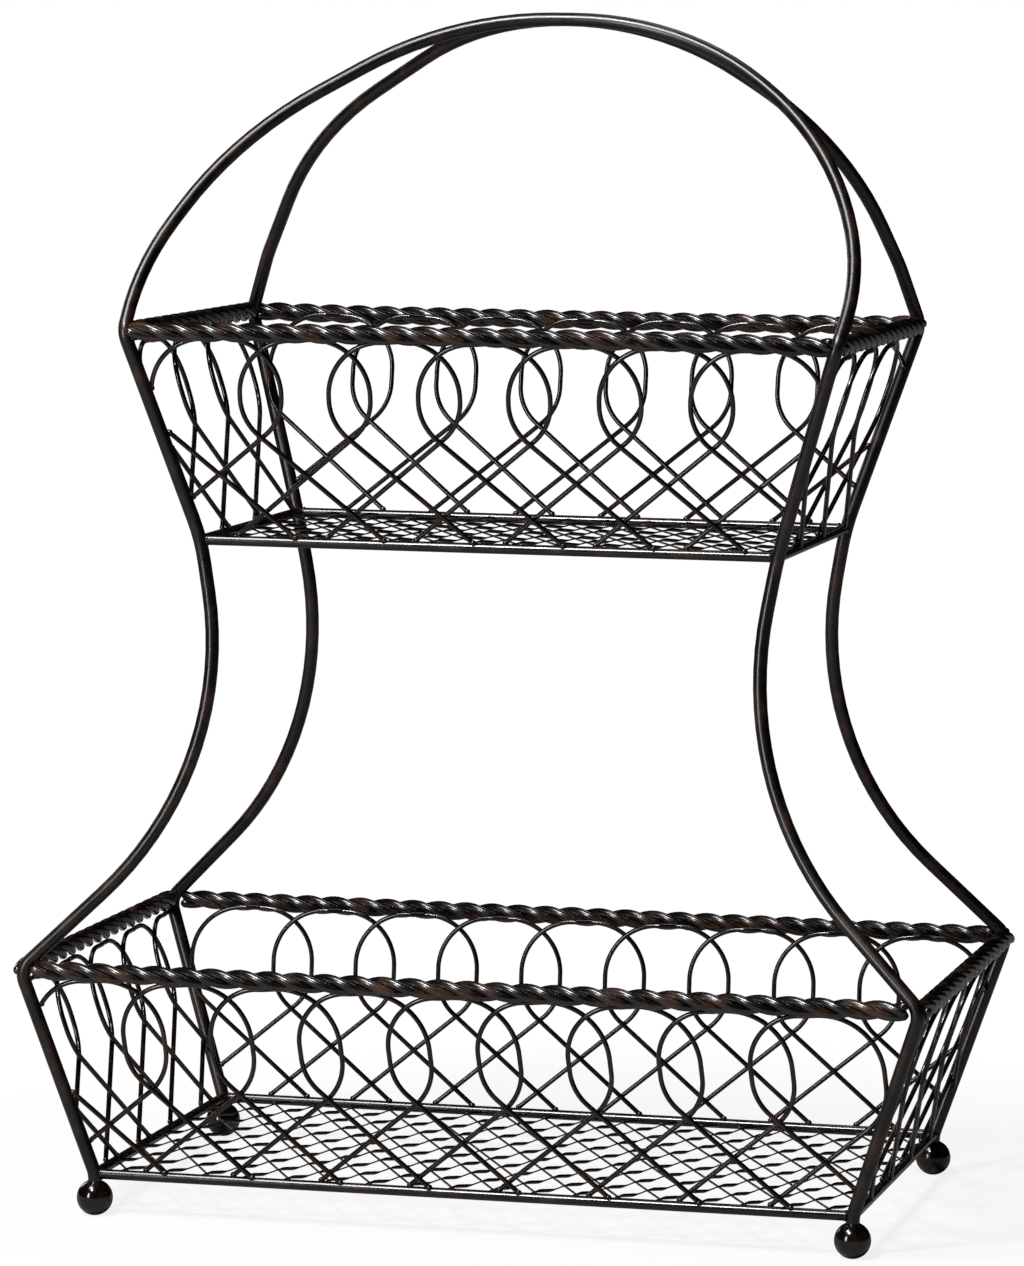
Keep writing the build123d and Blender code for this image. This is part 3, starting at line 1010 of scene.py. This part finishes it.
@dataclass
class Basket:
    """One tier: its walls, rims, rails, floor and welds."""
    tier: Tier
    sizes: TierSizes
    coats: dict[str, bpy.types.Material]

    def build(self) -> None:
        """Builds and dresses the tier."""
        welds = Welds(self.tier)
        for side in Side:
            wall = Wall(self.tier, side, self.sizes)
            wires, ends = WallWires(wall).build()
            finish_piece(wires, self.coats["wire"], "wire_coat", f"{wall.prefix}_wires")
            rim = TwistedRim(wall, RIM_BOWS.get((self.tier, side), 0.0))
            finish_piece(rim.build(), self.coats["rope"], "rope_coat", rim.node)
            dress_node(f"{wall.prefix}_rail", self.coats["rail"])
            welds.add_wall(wall, ends, rim.span())
        floor = CrimpedFloor(self.tier, self.sizes).build()
        finish_piece(floor, self.coats["mesh"], "mesh_coat", f"{self.tier.value}_floor_mesh")
        finish_piece(welds.build(), self.coats["weld"], "wire_coat")


@dataclass
class HoopFrame:
    """The two bent hoops and the four ball feet."""
    rod_coat: bpy.types.Material
    ball_coat: bpy.types.Material

    def dress(self) -> None:
        """Dresses the hoops and feet."""
        for side in ("front", "back"):
            dress_node(f"{side}_hoop", self.rod_coat)
            for end in ("left", "right"):
                dress_node(f"foot_{side}_{end}", self.ball_coat)


# Studio


def put(name: str, data: bpy.types.ID, axes: Sequence[np.ndarray],
        place: np.ndarray) -> bpy.types.Object:
    """Puts a camera or a light into the scene.

    Args:
        name: Its name.
        data: Its data.
        axes: Unit directions of its right, up and back.
        place: Its place in metres.

    Returns:
        The new object.
    """
    columns = np.eye(4)
    columns[:3] = np.stack([*axes, place], axis=1)
    made = bpy.data.objects.new(name, data)
    made.matrix_world = Matrix(columns.tolist())
    bpy.context.scene.collection.objects.link(made)
    return made


@dataclass(frozen=True)
class StudioCamera:
    """The photograph's camera, by its place on an orbit round the basket.

    Attributes:
        azimuth: Angle to the right of the front, in radians.
        elevation: Angle above level, in radians.
        roll: Turn of the picture, in radians.
        distance: Distance from the target, in mm.
        target: Point that it looks at, in mm.
        focal_pixels: Focal length, in pixels of the photograph.
        picture_height: Height of the photograph in pixels.
        sensor_height: Height of the sensor in mm.
        clip_end: Distance in metres that the camera sees to.
    """
    azimuth: float = 0.239822
    elevation: float = 0.101454
    roll: float = 0.009277
    distance: float = 2761.6
    target: tuple[float, float, float] = (-7.18, 0.0, 253.35)
    focal_pixels: float = 6189.5
    picture_height: int = 1266
    sensor_height: float = 36.0
    clip_end: float = 60.0

    def axes(self) -> tuple[np.ndarray, np.ndarray, np.ndarray]:
        """Works out how the picture lies in the room.

        Returns:
            Unit directions to its right, up, and back towards the camera.
        """
        az, el = self.azimuth, self.elevation
        back = np.array([np.sin(az) * np.cos(el), -np.cos(az) * np.cos(el), np.sin(el)])
        right = np.array([np.cos(az), np.sin(az), 0.0])
        up = np.cross(back, right)
        turned_right = np.cos(self.roll) * right + np.sin(self.roll) * up
        turned_up = -np.sin(self.roll) * right + np.cos(self.roll) * up
        return turned_right, turned_up, back

    def build(self) -> None:
        """Makes the camera the scene's camera."""
        axes = self.axes()
        place = (np.array(self.target) + axes[2] * self.distance) * MM
        data = bpy.data.cameras.new("studio_camera")
        data.sensor_fit = "VERTICAL"
        data.sensor_height = self.sensor_height
        data.lens = self.focal_pixels * self.sensor_height / self.picture_height
        data.clip_end = self.clip_end
        bpy.context.scene.camera = put("studio_camera", data, axes, place)
        log.info("camera: lens %.1f mm", data.lens)


@dataclass(frozen=True)
class SoftBox:
    """A soft light.

    Attributes:
        name: Name of the light.
        direction: Right, up and back parts of its direction from the basket, as the camera sees
            it. It isn't straight above.
        distance: Distance in metres.
        width: Width in metres.
        height: Height in metres.
        power: Power in watts.
    """
    name: str
    direction: tuple[float, float, float]
    distance: float
    width: float
    height: float
    power: float

    def build(self, camera: StudioCamera) -> None:
        """Makes the light, aimed at the middle of the basket.

        Args:
            camera: The camera that the direction is told from.
        """
        right, up, back = camera.axes()
        way = unit(self.direction[0] * right + self.direction[1] * up + self.direction[2] * back)
        side = unit(np.cross(UP, way))
        data = bpy.data.lights.new(self.name, "AREA")
        data.shape = "RECTANGLE"
        data.size = self.width
        data.size_y = self.height
        data.energy = self.power
        put(self.name, data, (side, np.cross(way, side), way), BASKET_MIDDLE + way * self.distance)


SOFT_BOXES = (
    SoftBox("key_softbox", (-0.34, 0.69, 0.64), distance=2.4, width=0.32, height=0.32, power=50.0),
    SoftBox("top_softbox", (0.1, 1.0, -0.35), distance=2.2, width=0.6, height=0.6, power=4.0),
    SoftBox("high_softbox", (-0.42, 0.82, 0.4), distance=2.2, width=0.6, height=0.5, power=26.0),
    SoftBox("left_softbox", (-0.66, 0.12, 0.75), distance=2.6, width=0.3, height=1.1, power=26.0),
    SoftBox("rear_softbox", (-0.57, 0.36, -0.75), distance=2.4, width=0.5, height=1.0, power=5.0),
)
WHITE = (1, 1, 1, 1)


@dataclass
class Studio:
    """A white table and backdrop under soft lights.

    Attributes:
        camera: The camera.
        floor_half: Half the side of the table in metres.
        floor_hex: Colour of the table.
        fade: Distances from the basket's middle, in metres, at which the table starts to turn
            to pure white and at which it has.
        glow_share: Share of the table's brightness, near the basket, that no shadow dims.
        glow_near: Strength of that share near the basket.
        glow_far: Its strength where the table is pure white.
        world_light: Strength of the even light on the basket.
    """
    camera: StudioCamera
    floor_half: float = 12.0
    floor_hex: str = "#949391"
    fade: tuple[float, float] = (0.22, 0.75)
    glow_share: float = 0.6
    glow_near: float = 1.4
    glow_far: float = 1.02
    world_light: float = 0.005

    def build(self) -> None:
        """Makes the floor, the world, the lights and the camera."""
        self.floor()
        self.world()
        for box in SOFT_BOXES:
            box.build(self.camera)
        self.camera.build()

    def floor(self) -> None:
        """A pale table with soft shadows, which fades to pure white away from the basket."""
        half = self.floor_half
        mesh = bpy.data.meshes.new("table_top")
        mesh.from_pydata([(-half, -half, 0), (half, -half, 0), (half, half, 0), (-half, half, 0)],
                         [], [(0, 1, 2, 3)])
        table = bpy.data.objects.new("table_top", mesh)
        bpy.context.scene.collection.objects.link(table)
        made = bpy.data.materials.new("white_laminate_table")
        tree = empty_tree(made)
        place = add_node(tree, "ShaderNodeTexCoord").outputs["Object"]
        away = add_node(tree, "ShaderNodeVectorMath", {"operation": "LENGTH"}, i0=place)
        share, strength = (
            add_node(tree, "ShaderNodeMapRange", {"interpolation_type": "SMOOTHSTEP"},
                     i0=away.outputs["Value"], i1=self.fade[0], i2=self.fade[1], i3=near, i4=far)
            for near, far in ((self.glow_share, 1.0), (self.glow_near, self.glow_far)))
        laminate = add_node(tree, "ShaderNodeBsdfDiffuse", Color=linear(self.floor_hex))
        glow = add_node(tree, "ShaderNodeEmission", Color=WHITE, Strength=strength.outputs[0])
        rays = add_node(tree, "ShaderNodeLightPath")
        seen = add_node(tree, "ShaderNodeMath", {"operation": "MULTIPLY"},
                        i0=rays.outputs["Is Camera Ray"], i1=share.outputs[0])
        mixed = add_node(tree, "ShaderNodeMixShader", i0=seen.outputs[0],
                         i1=laminate.outputs[0], i2=glow.outputs[0])
        add_node(tree, "ShaderNodeOutputMaterial", Surface=mixed.outputs[0])
        mesh.materials.append(made)

    def world(self) -> None:
        """A white backdrop for the camera, and a dimmer even light on the basket."""
        bpy.context.scene.world = bpy.data.worlds.new("studio_world")
        tree = empty_tree(bpy.context.scene.world)
        rays = add_node(tree, "ShaderNodeLightPath")
        light = add_node(tree, "ShaderNodeBackground", Color=WHITE, Strength=self.world_light)
        seen = add_node(tree, "ShaderNodeBackground", Color=WHITE, Strength=1.0)
        mixed = add_node(tree, "ShaderNodeMixShader", i0=rays.outputs["Is Camera Ray"],
                         i1=light.outputs[0], i2=seen.outputs[0])
        add_node(tree, "ShaderNodeOutputWorld", Surface=mixed.outputs[0])


def main() -> None:
    """Builds the basket's looks, then the studio."""
    bpy.context.scene.view_settings.view_transform = "Standard"
    coats = {kind: coat.material() for kind, coat in COATS.items()}
    HoopFrame(coats["rod"], coats["ball"]).dress()
    Basket(Tier.LOWER, LOWER_SIZES, coats).build()
    Basket(Tier.UPPER, UPPER_SIZES, coats).build()
    Studio(StudioCamera()).build()


if __name__ == "__main__":
    main()
